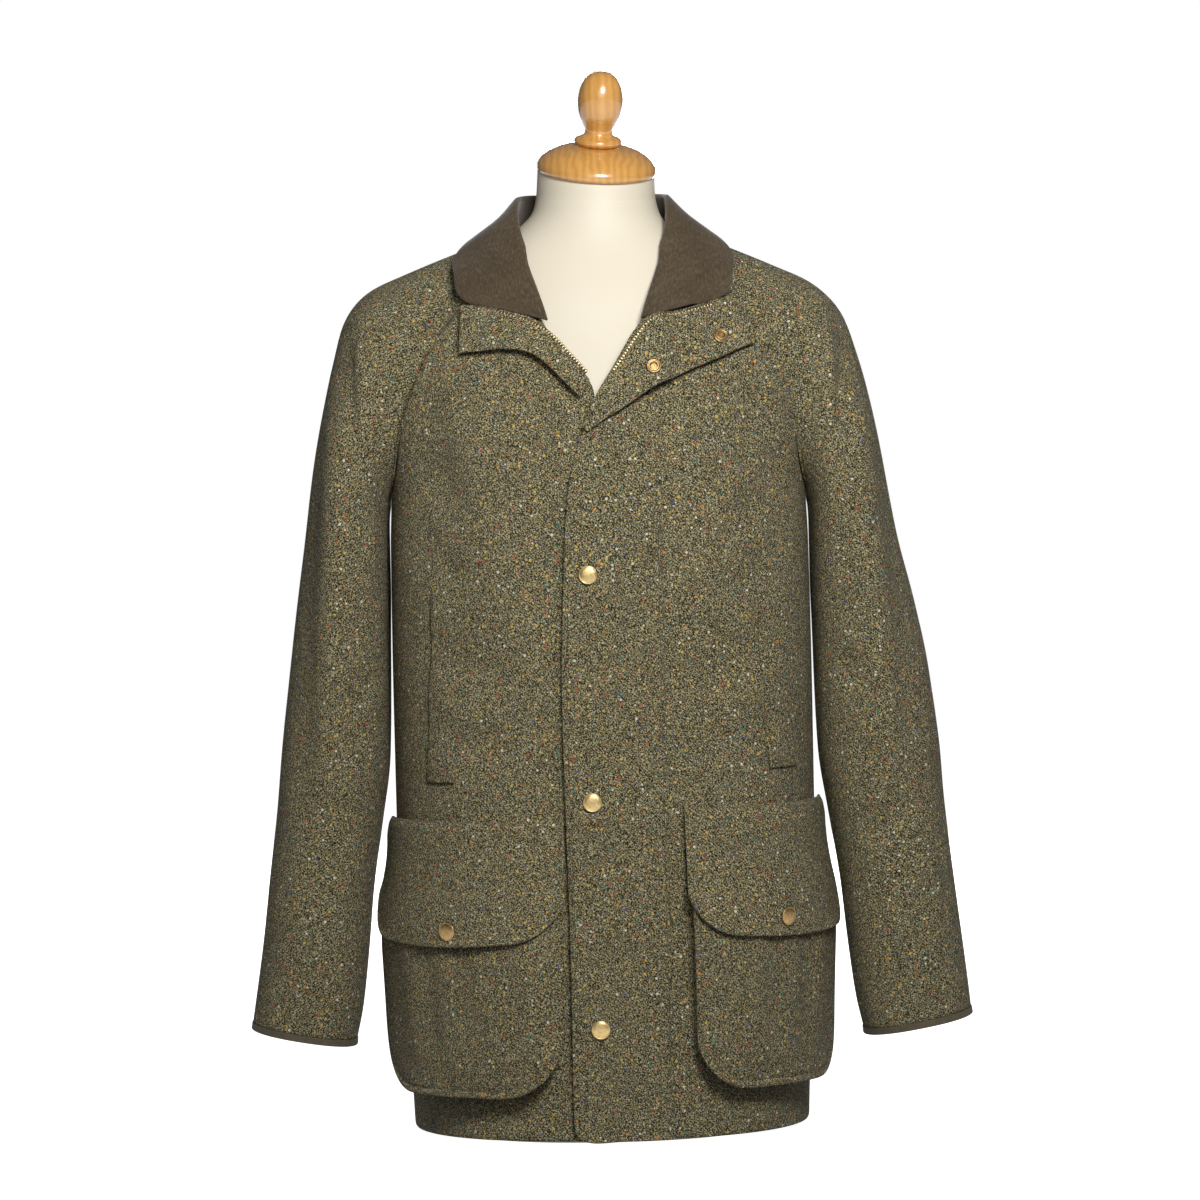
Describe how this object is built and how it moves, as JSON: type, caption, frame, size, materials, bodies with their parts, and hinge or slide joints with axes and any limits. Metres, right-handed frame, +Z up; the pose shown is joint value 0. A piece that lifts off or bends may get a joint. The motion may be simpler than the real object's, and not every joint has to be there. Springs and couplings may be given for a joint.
{
  "type": "field coat on a dress form",
  "caption": "Thigh-length tweed field coat with a soft turned-down collar, open neck, storm flap and bellows pockets, worn by a limbless dress form on its flat base.",
  "frame": {"origin": "centre of the dress form's flat base", "axes": "+Z up, the coat's front towards -Y, the wearer's left towards +X"},
  "size_m": [0.681, 0.3346, 0.9993],
  "materials": {
    "tweed": "green-brown twill tweed with coloured flecks",
    "moleskin": "dark brown brushed cotton",
    "binding": "olive-brown binding tape",
    "antique_brass": "antique brass, satin",
    "zip_tape": "dark woven tape with brass teeth",
    "form_cover": "smooth cream cotton cover",
    "varnished_beech": "honey-orange gloss varnish"
  },
  "bodies": {
    "root": {"form_body": "form_cover", "neck_cap": "varnished_beech", "finial": "varnished_beech", "front_right": "tweed", "front_left": "tweed", "back": "tweed", "sleeve_right": "tweed", "sleeve_left": "tweed", "cuff_binding_right": "binding", "cuff_binding_left": "binding", "storm_flap": "tweed", "lapel_right": "tweed", "lapel_left": "tweed", "collar": "moleskin", "pocket_bag_right": "tweed", "pocket_bag_left": "tweed", "pocket_flap_right": "tweed", "pocket_flap_left": "tweed", "welt_right": "tweed", "welt_left": "tweed", "zip_half_right": "zip_tape", "zip_half_left": "zip_tape", "zip_closed": "zip_tape", "zip_slider": "antique_brass", "zip_pull": "antique_brass", "flap_snap_top": "antique_brass", "flap_snap_middle": "antique_brass", "flap_snap_low": "antique_brass", "pocket_snap_right": "antique_brass", "pocket_snap_left": "antique_brass", "ring_socket_outer": "antique_brass", "ring_socket_inner": "antique_brass"}
  },
  "joints": []
}
